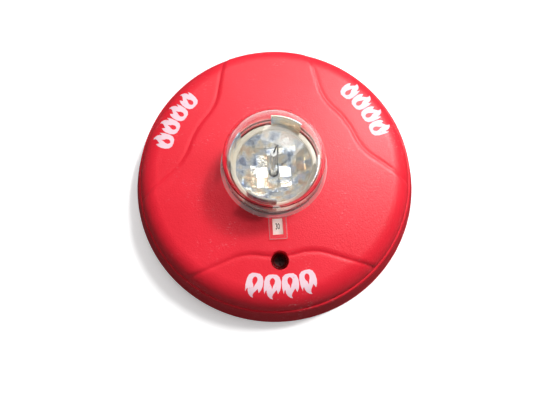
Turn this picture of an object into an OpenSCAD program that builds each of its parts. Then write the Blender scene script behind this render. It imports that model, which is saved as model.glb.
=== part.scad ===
// Ceiling or wall horn strobe: a red round housing with a clear strobe dome, hinged on a
// mounting plate and held shut by one captive screw.
// Z = 0 is the mounting face, +Z points out of the ceiling or wall towards the dome,
// and -Y is the side with the selector window and the captive screw.

/* [Housing] */
// Diameter of the housing at the mounting face
housing_d = 173; // [170:0.5:180]
// Height of the face beside the lens
face_z = 25; // [24.8:0.1:26]
// Height of the ledge between the skirt and the shoulder
ledge_z = 14.2; // [13.8:0.1:14.6]
// Radius of the ledge's outer edge
ledge_r = 80.1; // [79.6:0.1:80.6]
// Thickness of the housing's wall
wall = 2.4; // [2:0.1:2.6]

/* [Lens] */
// Height of the dome's top above the mounting face
lens_top_z = 58; // [57:0.5:62]
// Radius of the clear wall where it leaves the flange
lens_r = 27.3; // [27:0.1:27.4]
// Radius of the clear wall where the dome begins
dome_r = 26.8; // [26.4:0.1:27]
// Height at which the dome begins
dome_z = 38; // [36:0.5:39]
// Radius of the flange that lies on the face
flange_r = 29.75; // [29.5:0.05:30.5]
// Thickness of the clear wall
lens_wall = 1.6; // [1.4:0.1:1.8]
// Width of the clear tab over the selector's label
tab_w = 9.8; // [8:0.2:11]
// Distance from the centre to the tab's outer end
tab_end = 41.2; // [40:0.2:42]

/* [Strobe] */
// Outer radius of the reflector's rim
reflector_r = 25.1; // [24:0.1:25.1]
// Height of the four curved mirrors that stand on the reflector's rim
wing_top_z = 38; // [34:0.5:40]
// Radius of the flash tube's glass
tube_r = 1.8; // [1.4:0.1:2.2]
// Height of the flash tube's upper end
tube_top_z = 46; // [40:1:50]

/* [Captive screw] */
// Distance of the captive screw from the centre
screw_y = 52.4; // [51:0.1:54]
// Radius of the access bore in the face
access_r = 4.75; // [4.4:0.05:5]
// Radius of the screw's thread
screw_r = 2; // [1.8:0.05:2.1]
// Height that the screw rises before its thread meets the retainer
screw_lift = 5.5; // [4:0.1:5.8]

/* [Selector] */
// Distance between two numbers on the label
label_pitch = 5.6; // [5:0.1:6]
// Count of numbers on the label
label_count = 5; // [3:1:5]
// Position, counted from 0, that shows in the window
label_shown = 1; // [0:1:1]

/* [Mounting plate] */
// Radius of the mounting plate
plate_r = 79.5; // [78:0.1:80]
// Thickness of the mounting plate
plate_t = 2.6; // [2.2:0.1:2.8]
// Distance between the octagon box screws
octagon_pitch = 88.9; // [88:0.1:90]
// Distance between the single gang box screws
gang_pitch = 83.3; // [83:0.1:84]
// Distance of the hinge bar from the centre
hinge_y = 83; // [82.8:0.1:83.1]
// Height of the hinge bar's axis
hinge_z = 2.9; // [2.8:0.05:3]

/* [Hidden] */
$fn = 96;

housing_r = housing_d / 2;
eps = 0.01;
// Skirt and shoulder
skirt_slope = (housing_r - ledge_r) / ledge_z;
shoulder_r = 12;
shoulder_x = ledge_r - 1 - shoulder_r;
shoulder_z = face_z - 0.9 - shoulder_r;
lobe_shoulder_r = 14;
lobe_shoulder_x = shoulder_x - 2;
lobe_shoulder_z = face_z - 15.4;
ceiling_z = face_z - 3;
inner_shoulder_r = 10;
// Lobes: three sunk fields that open to the rim, each bounded by an arc, two fillets and two legs
lobe_arc_r = 48.9;
lobe_fillet_r = 30;
leg_angle = 20;
leg_offset = 36.94;
lobe_turns = [30, 150, 270];
// Reflector
rim_z = 24.4;
wing_turn = 42;
wing_t = 0.8;
wing_r = dome_r - lens_wall - 0.6;
// Lens seat
seat_r = lens_r + 0.3;
skirt_bottom_z = ceiling_z - 1;
tab_z0 = face_z - 0.6;
tab_t = 1.6;
tab_gap = 0.2;
window_w = 5.4;
window_y0 = -38.4;
window_y1 = -29.6;
// Board and covers
cover_z0 = 5.6;
cover_z1 = 7.2;
board_z0 = 8.8;
board_z1 = 10.4;
board_r = 60;
post_r = 3.8;
cover_post_ring = 66;
cover_turns = [45, 135, 225, 315];
board_post_ring = 54;
board_turns = [22, 158, 248];
board_post_r = 3;
// Captive screw
floor_z0 = 11.5;
floor_z1 = 13.5;
washer_t = 0.8;
retainer_t = 0.7;
thread_z0 = 0.9;
thread_z1 = floor_z0 - retainer_t - screw_lift - 0.4;
boss_r = 7.4;
shank_r = 1.45;
shank_bore_r = 1.7;
insert_r = 3.4;
insert_bore_r = screw_r + 0.2;
plate_boss_r = 6;
plate_boss_z = 5;
// Horn
horn_y = 48;
horn_r = 19;
horn_z0 = 12.4;
lead_r = 0.45;
lead_xy = [6, horn_y - 4];
lead_out_xy = [13, horn_y - 17];
lead_turn = atan2(lead_out_xy[0] - lead_xy[0], lead_xy[1] - lead_out_xy[1]);
outlet_z = 9.8;
sound_turns = [72:9:108];
// Selector
lever_w = 4;
lever_y0 = -36;
lever_y1 = -33;
label_y0 = -39.2;
label_y1 = -29.2;
carrier_z0 = 19.3;
carrier_z1 = 20.8;
label_t = 0.3;
label_x0 = -(label_shown + 0.5) * label_pitch;
label_x1 = label_x0 + label_count * label_pitch;
lever_x = (label_x0 + label_x1) / 2;
travel_out = label_shown * label_pitch;
travel_in = (label_count - 1 - label_shown) * label_pitch;
// Terminals
terminal_xs = [-18, -6, 6, 18];
block_y0 = 4;
block_y1 = 23;
block_z = 5.4;
contact_t = 0.8;
terminal_screw_y = 17;
blade_y = 8.5;
// Tone switch
tone_x = -42;
tone_y = -24;
tone_body = 10;
// Hinge
bar_r = 1.3;
hook_bore_r = 1.36;
hook_r = 2.7;
notch_w = 49;
notch_z = 6;

// Point on a circle
function polar(r, a, c = [0, 0]) = [c[0] + r * cos(a), c[1] + r * sin(a)];
// Points along an arc, ends included
function arc(r, a0, a1, c = [0, 0], n = 12) = [for (i = [0:n]) polar(r, a0 + (a1 - a0) * i / n, c)];

module ring(r_out, r_in, z0, z1) {
    translate([0, 0, z0]) difference() {
        cylinder(r = r_out, h = z1 - z0);
        translate([0, 0, -1]) cylinder(r = r_in, h = z1 - z0 + 2);
    }
}

module rod(r, z0, z1) {
    translate([0, 0, z0]) cylinder(r = r, h = z1 - z0);
}

// Box given by its lowest and highest corners
module block(low, high) {
    translate(low) cube(high - low);
}

// Straight round wire between two points, a little longer so that it meets the next one
module wire(a, b, r) {
    d = b - a;
    len = norm(d);
    translate(a) rotate([0, acos(d[2] / len), atan2(d[1], d[0])])
        translate([0, 0, -r / 2]) cylinder(r = r, h = len + r, $fn = 24);
}

// Wire through a list of points
module wire_path(points, r) {
    for (i = [1:len(points) - 1]) wire(points[i - 1], points[i], r);
}

// Sunk field around one marking, drawn with its middle on +X
module lobe_outline() {
    n = [cos(leg_angle), -sin(leg_angle)];
    d = [sin(leg_angle), cos(leg_angle)];
    along = sqrt(pow(lobe_arc_r + lobe_fillet_r, 2) - pow(leg_offset + lobe_fillet_r, 2));
    c = n * (leg_offset + lobe_fillet_r) + d * along;
    touch = atan2(c[1], c[0]);
    upper = concat(
        arc(lobe_arc_r, 0, touch),
        arc(lobe_fillet_r, 180 + touch, 180 - leg_angle, c),
        [n * leg_offset + d * 90, [120, 90]]
    );
    lower = [for (i = [len(upper) - 1:-1:1]) [upper[i][0], -upper[i][1]]];
    polygon(concat(upper, lower));
}

// Profile of the housing's outer surface
module outer_profile() {
    rise = asin((ledge_z - shoulder_z) / shoulder_r);
    polygon(concat(
        [[0, -2], [housing_r + 2 * skirt_slope, -2], [ledge_r, ledge_z], [ledge_r - 1, ledge_z]],
        arc(shoulder_r, rise, 90, [shoulder_x, shoulder_z], 10),
        [[30, face_z], [0, face_z]]
    ));
}

// Everything above the sunk fields' surface
module above_lobe_profile() {
    lowest = asin((ledge_z - lobe_shoulder_z) / lobe_shoulder_r);
    polygon(concat(
        [[100, ledge_z]],
        arc(lobe_shoulder_r, lowest, 88, [lobe_shoulder_x, lobe_shoulder_z], 10),
        [[lobe_arc_r - 2, face_z - 0.7], [30, face_z - 0.6], [30, 40], [100, 40]]
    ));
}

// Profile of the housing's hollow
module inner_profile() {
    inner_r = housing_r - wall * 1.1;
    polygon(concat(
        [[0, -3], [inner_r + 3 * skirt_slope, -3], [inner_r - 10.4 * skirt_slope, 10.4], [76.2, 12]],
        arc(inner_shoulder_r, 0, 90, [76.2 - inner_shoulder_r, ceiling_z - inner_shoulder_r], 8),
        [[0, ceiling_z]]
    ));
}

module at_ring(turns, radius) {
    for (a = turns) rotate(a) translate([radius, 0, 0]) children();
}

// Hook that turns on the plate's hinge bar
module hinge_hook(x) {
    difference() {
        union() {
            translate([x - 4, hinge_y, hinge_z]) rotate([0, 90, 0]) cylinder(r = hook_r, h = 8);
            block([x - 4, plate_r + 0.1, hinge_z], [x + 4, hinge_y - bar_r - 0.1, 8.5]);
        }
        translate([x - 5, hinge_y, hinge_z]) rotate([0, 90, 0]) cylinder(r = hook_bore_r, h = 10);
        translate([x - 5, hinge_y, hinge_z]) rotate([-60, 0, 0]) block([0, 0, -1], [10, 5, 1]);
    }
}

module housing() {
    color("#d8202e") {
        difference() {
            intersection() {
                rotate_extrude($fn = 180) outer_profile();
                block([-100, -100, 0], [100, 100, 40]);
            }
            rotate_extrude($fn = 180) inner_profile();
            for (a = lobe_turns) intersection() {
                rotate(a) translate([0, 0, -5]) linear_extrude(50) lobe_outline();
                rotate_extrude($fn = 180) above_lobe_profile();
            }
            rod(seat_r, ceiling_z - 1, face_z + 1);
            block([-tab_w / 2 - tab_gap, -tab_end - tab_gap, tab_z0 - 0.1], [tab_w / 2 + tab_gap, -20, 30]);
            block([-window_w / 2, window_y0, ceiling_z - 1], [window_w / 2, window_y1, face_z]);
            translate([0, -screw_y, 0]) rod(access_r, ceiling_z - 1, face_z + 1);
            block([-notch_w / 2, 70, -3], [notch_w / 2, 90, notch_z]);
            for (a = sound_turns) rotate(a) block([70, -4, outlet_z], [90, 4, outlet_z + 3.2]);
        }
        difference() {
            translate([0, -screw_y, 0]) rod(boss_r, floor_z0 - washer_t, ceiling_z + 0.5);
            translate([0, -screw_y, 0]) rod(access_r, floor_z1, face_z + 1);
            translate([0, -screw_y, 0]) rod(shank_bore_r, 0, face_z);
            translate([0, -screw_y, 0]) rod(4.2, 0, floor_z0);
        }
        at_ring(cover_turns, cover_post_ring) ring(post_r, 1.2, cover_z1, ceiling_z + 0.3);
        at_ring(board_turns, board_post_ring) ring(board_post_r, 1, board_z1, ceiling_z + 0.3);
        for (x = [-9, 9]) hinge_hook(x);
    }
}

// Points up a dome's outline, from its spring line to its top
function dome_points(r, h) = [for (a = [0:5:90]) [r * cos(a), dome_z + h * sin(a)]];

module lens() {
    outer = dome_points(dome_r, lens_top_z - dome_z);
    inner = dome_points(dome_r - lens_wall, lens_top_z - dome_z - lens_wall);
    color("white", 0.3) {
        rotate_extrude($fn = 120) polygon(concat(
            [[lens_r - lens_wall, skirt_bottom_z], [lens_r, skirt_bottom_z], [lens_r, face_z],
             [flange_r, face_z], [flange_r, face_z + 1.3], [lens_r + 0.8, face_z + 1.7],
             [lens_r, face_z + 2.6]],
            outer,
            [for (i = [len(inner) - 1:-1:0]) inner[i]],
            [[lens_r - lens_wall, face_z + 2.6]]
        ));
        difference() {
            block([-tab_w / 2, -tab_end, tab_z0], [tab_w / 2, 1 - lens_r, tab_z0 + tab_t]);
            rod(lens_r - 0.5, 0, 40);
        }
        for (a = [45:90:315]) rotate(a)
            block([lens_r - 0.4, -4, skirt_bottom_z], [lens_r + 1.2, 4, ceiling_z - 0.1]);
    }
}

module reflector() {
    depth = rim_z - 12.6;
    bowl = [for (i = [0:8]) [2.8 + (reflector_r - 5.6) * sin(90 * i / 8), rim_z - depth * cos(90 * i / 8)]];
    back = [for (i = [8:-1:0]) [bowl[i][0] + (i == 0 ? 0 : 0.9), bowl[i][1] - 1]];
    color("gainsboro") {
        rotate_extrude() polygon(concat(
            bowl,
            [[reflector_r, rim_z], [reflector_r, rim_z - 1]],
            back
        ));
        for (a = [0:90:270]) rotate(a - wing_turn)
            rotate_extrude(angle = wing_turn) translate([wing_r - wing_t, rim_z - 0.5])
                square([wing_t, wing_top_z - rim_z + 0.5]);
        at_ring([90, 210, 330], 17.5) rod(1.5, board_z1, 17);
    }
}

module flash_tube() {
    color("lightyellow", 0.6) rod(tube_r, board_z1 + 1, tube_top_z - 1.5);
}

module tube_caps() {
    color("dimgray") {
        rod(tube_r - 0.2, board_z1, board_z1 + 1);
        rod(tube_r - 0.2, tube_top_z - 1.5, tube_top_z);
    }
}

module return_lead() {
    color("dimgray") wire_path([
        [0, 0, tube_top_z + 0.4], [1.2, 2.4, tube_top_z + 0.6], [2.3, 4.6, tube_top_z - 2], [2.3, 4.8, 25],
        [2.2, 3.4, 15], [1.4, 1.75, 13.4], [1.4, 1.75, board_z1 + 0.17]
    ], 0.35);
}

module circuit_board() {
    color("darkgreen") difference() {
        rod(board_r, board_z0, board_z1);
        translate([0, -screw_y, 0]) rod(boss_r + 0.8, 0, 30);
        block([lever_x - lever_w / 2 - travel_in - 0.6, lever_y0 - 0.8, 0],
              [lever_x + lever_w / 2 + travel_out + 0.6, lever_y1 + 0.8, 30]);
        at_ring(board_turns, board_post_ring) rod(1.3, 0, 30);
        block([-16, -board_r - 10, 0], [16, 5 - board_r, 30]);
        block([-13, horn_y + 11.2, 0], [13, board_r + 10, 30]);
    }
}

module flash_capacitor() {
    color("midnightblue") translate([-44, -12, board_z1 + 5.6]) rotate([-90, 0, 0]) {
        cylinder(r = 5.6, h = 26);
        translate([0, 0, -1.2]) cylinder(r = 5.2, h = 1.3);
    }
}

module boost_inductor() {
    color("dimgray") translate([43, 10, 0]) {
        rod(6.5, board_z1, board_z1 + 1.6);
        rod(4.6, board_z1 + 1.6, board_z1 + 7.4);
        rod(6.5, board_z1 + 7.4, board_z1 + 9);
    }
}

module trigger_coil() {
    color("goldenrod") translate([-33, 30, 0]) {
        rod(4.4, board_z1, board_z1 + 1.2);
        rod(3.6, board_z1 + 1.2, board_z1 + 8.6);
        rod(4.4, board_z1 + 8.6, board_z1 + 9.8);
    }
}

module control_chips() {
    color("#222222") {
        block([34, -22, board_z1], [46, -13, board_z1 + 1.8]);
        block([27, -40, board_z1], [36, -34, board_z1 + 1.6]);
        block([-36, -42, board_z1], [-27, -36, board_z1 + 1.6]);
    }
}

module rectifier_diodes() {
    color("black") for (i = [0:3]) translate([33 + 6 * (i % 2), 26 + 5 * floor(i / 2), 0])
        block([0, 0, board_z1], [4, 2.6, board_z1 + 2]);
}

module chip_resistors() {
    color("#3a3a3a") for (i = [0:5], j = [0:1]) translate([-29 + 3 * i, 27 * (1 - 2 * j) - 1, 0])
        block([0, 0, board_z1], [1.2, 2, board_z1 + 0.6]);
}

module piezo_disc() {
    color("goldenrod") translate([0, horn_y, 0]) rod(17.5, 17.6, 17.9);
}

module piezo_ceramic() {
    color("whitesmoke") translate([0, horn_y, 0]) rod(12, 17.3, 17.6);
}

module horn_chamber() {
    color("#dddddd") difference() {
        translate([0, horn_y, 0]) union() {
            rod(horn_r, horn_z0, 17.2);
            block([-12, 11.5, outlet_z], [12, 25, 16.8]);
        }
        translate([0, horn_y, 0]) rod(16.4, horn_z0 + 1.2, 20);
        translate([0, horn_y, 0]) block([-10.8, 0, horn_z0 + 1.2], [10.8, 24.5, 16]);
        translate([0, horn_y, 0]) block([-10.8, 12.7, outlet_z + 1], [10.8, 30, 16]);
        for (s = [-1, 1]) translate([s * lead_out_xy[0], lead_out_xy[1], 0]) rotate(s * lead_turn)
            block([-2 * lead_r, -1, 15.6], [2 * lead_r, 8.5, 20]);
    }
}

module horn_gasket() {
    color("#444444") {
        translate([0, horn_y, 0]) ring(18.2, 16.6, 17.2, 17.6);
        translate([0, horn_y, 0]) ring(18.2, 16.6, 17.9, ceiling_z);
    }
}

module piezo_leads() {
    color("firebrick") {
        for (s = [-1, 1]) wire_path([
            [s * lead_xy[0], lead_xy[1], 16.8], [s * lead_out_xy[0], lead_out_xy[1], 16.3],
            [s * 15, 28, 13], [s * 15, 28, board_z1 + lead_r / 2]
        ], lead_r);
    }
}

module rear_cover() {
    color("#2b2b2b") difference() {
        union() {
            rod(73.5, cover_z0, cover_z1);
            ring(73.5, 71.9, cover_z1 - eps, cover_z1 + 2.4);
        }
        block([-27, 1, 0], [27, 27, 30]);
        translate([0, -screw_y, 0]) rod(plate_boss_r + 2.5, 0, 30);
        block([lever_x - lever_w / 2 - travel_in - 0.6, lever_y0 - 0.8, 0],
              [lever_x + lever_w / 2 + travel_out + 0.6, lever_y1 + 0.8, 30]);
        translate([tone_x, tone_y, 0]) block([-6, -6, 0], [6, 6, 30]);
        at_ring(cover_turns, cover_post_ring) rod(1.5, 0, 30);
    }
}

module cover_screws() {
    color("silver") at_ring(cover_turns, cover_post_ring) {
        rod(1.2, cover_z0 - eps, 14);
        difference() {
            rod(2.7, cover_z0 - 1.6, cover_z0);
            block([-2, -0.35, 0], [2, 0.35, cover_z0 - 1]);
            block([-0.35, -2, 0], [0.35, 2, cover_z0 - 1]);
        }
    }
}

module board_screws() {
    color("silver") at_ring(board_turns, board_post_ring) {
        rod(1, board_z0 - eps, 16);
        rod(2.2, board_z0 - 1.3, board_z0);
    }
}

module contact_blades() {
    color("gold") for (x = terminal_xs)
        block([x - 2.2, blade_y - 0.4, 3.4], [x + 2.2, blade_y + 0.4, board_z0]);
}

module candela_guide() {
    color("#e8e4d8") difference() {
        block([-27, -41.2, 18], [27, -30.4, ceiling_z]);
        block([-30, -39.8, carrier_z0 - 0.1], [30, -20, 30]);
        block([lever_x - lever_w / 2 - travel_in - 0.6, lever_y0 - 0.6, 0],
              [lever_x + lever_w / 2 + travel_out + 0.6, lever_y1 + 0.6, 30]);
        rod(28.8, 0, 30);
    }
}

module tone_switch_body() {
    color("#1d4fa0") translate([tone_x, tone_y, 0]) difference() {
        block([-tone_body / 2, -tone_body / 2, 5.2], [tone_body / 2, tone_body / 2, board_z0]);
        rod(3.05, 0, 7);
    }
}

module tone_rotor() {
    color("white") translate([tone_x, tone_y, 0]) difference() {
        rod(3, 4.6, 6.9);
        block([-2.4, -0.4, 0], [2.4, 0.4, 5.4]);
        block([0.8, -0.9, 0], [2.5, 0.9, 5.2]);
    }
}

module candela_slider() {
    color("#efe9d6") {
        block([label_x0, label_y0, carrier_z0], [label_x1, label_y1, carrier_z1]);
        block([lever_x - lever_w / 2, lever_y0, 3.6], [lever_x + lever_w / 2, lever_y1, carrier_z0 + eps]);
    }
}

module candela_label() {
    color("#fbf6e4")
        block([label_x0 + 0.2, label_y0 + 0.3, carrier_z1], [label_x1 - 0.2, label_y1 - 0.3, carrier_z1 + label_t]);
}

module screw_retainer() {
    color("gray") translate([0, -screw_y, 0]) ring(4.2, 1.6, floor_z0 - retainer_t, floor_z0);
}

module screw_washer() {
    color("silver") translate([0, -screw_y, 0]) ring(4, 1.52, floor_z1 + 0.05, floor_z1 + 0.05 + washer_t);
}

module captive_screw() {
    head_z = floor_z1 + washer_t + 0.1;
    color("#5a5a5a") translate([0, -screw_y, 0]) difference() {
        union() {
            rod(shank_r, thread_z1 - eps, head_z + eps);
            rod(screw_r, thread_z0, thread_z1);
            rod(3.8, head_z, head_z + 1.8);
            translate([0, 0, head_z + 1.8]) cylinder(r1 = 3.8, r2 = 2.9, h = 0.8);
        }
        block([-2.4, -0.45, head_z + 1], [2.4, 0.45, 30]);
        block([-0.45, -2.4, head_z + 1], [0.45, 2.4, 30]);
    }
}

// Slot that runs along X, centred on the origin
module slot_x(length, r) {
    block([-length / 2 + r, -r, -1], [length / 2 - r, r, 10]);
    for (s = [-1, 1]) translate([s * (length / 2 - r), 0, 0]) rod(r, -1, 10);
}

module mounting_plate() {
    color("#e9e6df") {
        difference() {
            union() {
                rod(plate_r, 0, plate_t);
                ring(plate_r, plate_r - 2, plate_t - eps, 5);
                translate([0, -screw_y, 0]) rod(plate_boss_r, 0, plate_boss_z);
                for (x = [-19, -3, 15]) block([x, 74, 0], [x + (x == -3 ? 6 : 4), hinge_y, plate_t]);
            }
            translate([0, -screw_y, 0]) rod(insert_r, -1, 10);
            block([-22, -30, -1], [22, 0, 10]);
            for (s = [-1, 1]) {
                translate([s * octagon_pitch / 2, 0, 0]) slot_x(9, 2.25);
                translate([0, s * gang_pitch / 2, 0]) rotate(90) slot_x(6, 2);
            }
            block([-notch_w / 2, 79.6 - 5, plate_t], [notch_w / 2, 90, 10]);
        }
        translate([-19, hinge_y, hinge_z]) rotate([0, 90, 0]) cylinder(r = bar_r, h = 38);
    }
}

module screw_insert() {
    color("gold") translate([0, -screw_y, 0]) ring(insert_r, insert_bore_r, 0.4, 4.6);
}

module terminal_block() {
    color("#f2f2f2") difference() {
        union() {
            block([-24, block_y0, plate_t], [24, block_y1, block_z]);
            for (x = [-24:12:24]) block([x - 0.6, block_y0, plate_t], [x + 0.6, block_y1 - 2, 8]);
        }
        for (x = terminal_xs) {
            block([x - 2.8, blade_y - 1, 3], [x + 2.8, blade_y + 1, 10]);
            translate([x, terminal_screw_y, 0]) rod(1.5, 3, 10);
        }
    }
}

module terminal_contacts() {
    color("gold") for (x = terminal_xs) difference() {
        block([x - 4.4, 5.4, block_z], [x + 4.4, block_y1, block_z + contact_t]);
        block([x - 2.8, blade_y - 0.8, 0], [x + 2.8, blade_y + 0.8, 20]);
        translate([x, terminal_screw_y, 0]) rod(1.5, 0, 20);
    }
}

module clamp_plates() {
    color("silver") for (x = terminal_xs) difference() {
        block([x - 3.6, terminal_screw_y - 3.4, block_z + contact_t],
              [x + 3.6, terminal_screw_y + 3.4, block_z + 2 * contact_t]);
        translate([x, terminal_screw_y, 0]) rod(1.5, 0, 20);
    }
}

module terminal_screws() {
    head_z = block_z + 2 * contact_t;
    color("silver") for (x = terminal_xs) translate([x, terminal_screw_y, 0]) difference() {
        union() {
            rod(1.5, 3, head_z);
            rod(3, head_z, head_z + 1.4);
        }
        block([-2.4, -0.4, head_z + 0.6], [2.4, 0.4, 20]);
    }
}

module shorting_spring() {
    color("gold") translate([0, 22.9, 0]) rotate([90, 0, 0]) linear_extrude(1.4) polygon([
        [-9.5, block_z + contact_t], [-3.2, block_z + contact_t], [-2, 7.4], [9, 6.7],
        [9, 7], [-2.2, 7.8], [-3.6, block_z + contact_t + 0.3], [-9.5, block_z + contact_t + 0.3]
    ]);
}

mounting_plate();
screw_insert();
terminal_block();
terminal_contacts();
clamp_plates();
terminal_screws();
shorting_spring();
housing();
lens();
reflector();
flash_tube();
tube_caps();
return_lead();
circuit_board();
flash_capacitor();
boost_inductor();
trigger_coil();
control_chips();
rectifier_diodes();
chip_resistors();
piezo_disc();
piezo_ceramic();
horn_chamber();
horn_gasket();
piezo_leads();
rear_cover();
cover_screws();
board_screws();
contact_blades();
candela_guide();
tone_switch_body();
screw_retainer();
candela_slider();
candela_label();
tone_rotor();
screw_washer();
captive_screw();
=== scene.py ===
"""Looks of a round ceiling horn strobe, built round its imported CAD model.

Shapes are in millimetres and are scaled by MM when they become meshes. Lights, the floor and the sizes
inside materials are in Blender's metres. Angles are in degrees.
"""

import math

import bmesh
import bpy
import numpy as np
from mathutils import Matrix, Vector


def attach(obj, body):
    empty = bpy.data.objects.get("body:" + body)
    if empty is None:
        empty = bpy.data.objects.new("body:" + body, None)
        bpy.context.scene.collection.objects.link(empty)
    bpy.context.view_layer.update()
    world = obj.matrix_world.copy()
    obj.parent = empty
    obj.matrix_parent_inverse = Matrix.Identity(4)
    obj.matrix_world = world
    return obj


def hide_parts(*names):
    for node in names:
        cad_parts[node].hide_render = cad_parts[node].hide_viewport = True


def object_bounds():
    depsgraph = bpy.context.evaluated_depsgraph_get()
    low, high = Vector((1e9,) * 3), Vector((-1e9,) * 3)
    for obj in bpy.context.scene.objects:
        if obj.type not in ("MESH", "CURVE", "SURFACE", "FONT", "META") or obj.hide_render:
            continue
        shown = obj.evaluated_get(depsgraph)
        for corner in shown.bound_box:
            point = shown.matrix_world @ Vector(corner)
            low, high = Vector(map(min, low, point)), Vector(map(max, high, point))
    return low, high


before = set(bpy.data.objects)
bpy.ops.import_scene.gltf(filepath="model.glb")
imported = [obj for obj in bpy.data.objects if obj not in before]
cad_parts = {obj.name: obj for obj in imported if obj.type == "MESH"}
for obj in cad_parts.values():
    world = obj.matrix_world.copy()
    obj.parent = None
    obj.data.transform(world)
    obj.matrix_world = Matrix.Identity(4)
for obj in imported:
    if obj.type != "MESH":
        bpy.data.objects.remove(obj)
cad_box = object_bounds()
scene = bpy.context.scene
MM = 0.001
rng = np.random.default_rng(7)

# ---------------------------------------------------------------- the housing's sizes

FACE_Z, LEDGE_Z, LEDGE_R, BASE_R, CEILING_Z, SEAT_R = 25.0, 14.2, 80.1, 86.5, 22.0, 27.6
# centre (radius, height) and radius of the shoulder's arc, on the arms and on the sunk fields
ARM_C, ARM_R, FIELD_C, FIELD_R = (66.55, 11.2), 12.8, (65.75, 9.6), 14.0
ARM_END = math.degrees(math.asin((LEDGE_Z - ARM_C[1]) / ARM_R))
FIELD_END = math.degrees(math.asin((LEDGE_Z - FIELD_C[1]) / FIELD_R))
# the face falls 1 mm over CROWN_RUN from CROWN_R, and a field falls 1 mm over FIELD_RUN from FIELD_IN
CROWN_R, CROWN_RUN, FIELD_Z, FIELD_IN, FIELD_RUN = 30, 36.2, 23.9, 46.9, 18.2 / 0.3
FLAT_END, FIELDS, SCREW_Y = 62.0, (30, 150, 270), -52.4
# the groove beside a field's edge: its width towards the arm and towards the field, depth and place
GROOVE_W, GROOVE_RETURN_W, GROOVE_DEPTH, GROOVE_AT, STEP_W = 0.6, 1.2, 0.26, -1.2, 1.7

# ---------------------------------------------------------------- camera, floor, light

# its place, and the directions of its X, Y and Z
CAMERA_AT = (-4.42, -57.63, 202.0)
CAMERA_AXES = ((0.99808, -0.05946, -0.01715), (0.06174, 0.97558, 0.21079), (0.00419, -0.21144, 0.97738))
camera_data = bpy.data.cameras.new("camera")
camera_data.sensor_width = 36
camera_data.lens = 22.327
camera_data.clip_start = 0.005
camera = bpy.data.objects.new("camera", camera_data)
turn = Matrix(CAMERA_AXES).transposed().to_4x4()
camera.matrix_world = Matrix.Translation(Vector(CAMERA_AT) * MM) @ turn
scene.collection.objects.link(camera)
scene.camera = camera
scene.view_settings.view_transform = "Standard"


def node_tree(material):
    """Nodes, links and the surface shader of a new material."""
    material.use_nodes = True
    nodes, links = material.node_tree.nodes, material.node_tree.links
    return nodes, links, nodes["Principled BSDF"]


def add(nodes, kind, **values):
    """A shader node with its sockets or properties set by name."""
    node = nodes.new(kind)
    for key, value in values.items():
        if key in node.inputs:
            node.inputs[key].default_value = value
        else:
            setattr(node, key, value)
    return node


def area_light(name, direction, distance, size, power, color=(1, 1, 1)):
    """Area light at a distance in a direction from the object's middle, turned towards it."""
    aim = Vector((0, 0, 0.02))
    data = bpy.data.lights.new(name, "AREA")
    data.shape = "RECTANGLE"
    data.size, data.size_y = size
    data.energy = power
    data.color = color
    light = bpy.data.objects.new(name, data)
    light.location = aim + Vector(direction).normalized() * distance
    light.rotation_euler = (aim - light.location).to_track_quat("-Z", "Y").to_euler()
    scene.collection.objects.link(light)
    return light


key = area_light("key", (0.52, 0.46, 0.72), 1.0, (0.13, 0.13), 8.0)
area_light("top", (0.28, 0.54, 0.79), 0.9, (1.15, 0.55), 5.4)
fill = area_light("fill", (-0.29, -0.41, 0.87), 1.0, (0.6, 0.6), 1.2)
fill.visible_glossy = False

# The backdrop is near white where it is seen, dimmer through the dome, and gives only a little light.
AMBIENT, THROUGH_DOME = 0.03, 0.42
world = bpy.data.worlds.new("world")
world.use_nodes = True
nodes, links = world.node_tree.nodes, world.node_tree.links
nodes["Background"].inputs[0].default_value = (0.9, 0.9, 0.9, 1)
ray = nodes.new("ShaderNodeLightPath").outputs
through = add(nodes, "ShaderNodeMath", operation="MULTIPLY_ADD")
links.new(ray["Is Transmission Ray"], through.inputs[0])
through.inputs[1].default_value = THROUGH_DOME
through.inputs[2].default_value = AMBIENT
seen = add(nodes, "ShaderNodeMath", operation="MAXIMUM")
links.new(through.outputs[0], seen.inputs[0])
links.new(ray["Is Camera Ray"], seen.inputs[1])
links.new(seen.outputs[0], nodes["Background"].inputs[1])
scene.world = world

# The floor is white where it is seen, and grey where it lights the object.
FLOOR_HALF, FLOOR_GAP, FLOOR_GLOW = 1, 0.0002, 0.3
floor_mesh = bpy.data.meshes.new("floor")
corners = [(x * FLOOR_HALF, y * FLOOR_HALF, 0) for x, y in ((-1, -1), (1, -1), (1, 1), (-1, 1))]
floor_mesh.from_pydata(corners, [], [(0, 1, 2, 3)])
floor_obj = bpy.data.objects.new("floor", floor_mesh)
floor_obj.location.z = cad_box[0].z - FLOOR_GAP
floor_obj.visible_glossy = False
scene.collection.objects.link(floor_obj)
floor_mat = bpy.data.materials.new("floor")
nodes, links, bsdf = node_tree(floor_mat)
floor_mix = add(nodes, "ShaderNodeMix", data_type="RGBA")
floor_mix.inputs[6].default_value = (0.42, 0.42, 0.42, 1)
floor_mix.inputs[7].default_value = (0.95, 0.95, 0.95, 1)
ray = nodes.new("ShaderNodeLightPath").outputs
seen = add(nodes, "ShaderNodeMath", operation="MAXIMUM")
links.new(ray["Is Camera Ray"], seen.inputs[0])
links.new(ray["Is Transmission Ray"], seen.inputs[1])
links.new(seen.outputs[0], floor_mix.inputs[0])
links.new(floor_mix.outputs[2], bsdf.inputs["Base Color"])
bsdf.inputs["Roughness"].default_value = 0.8
bsdf.inputs["Emission Color"].default_value = (1, 1, 1, 1)
glow = add(nodes, "ShaderNodeMath", operation="MULTIPLY")
links.new(seen.outputs[0], glow.inputs[0])
glow.inputs[1].default_value = FLOOR_GLOW
links.new(glow.outputs[0], bsdf.inputs["Emission Strength"])
floor_mesh.materials.append(floor_mat)

# ---------------------------------------------------------------- materials


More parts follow.
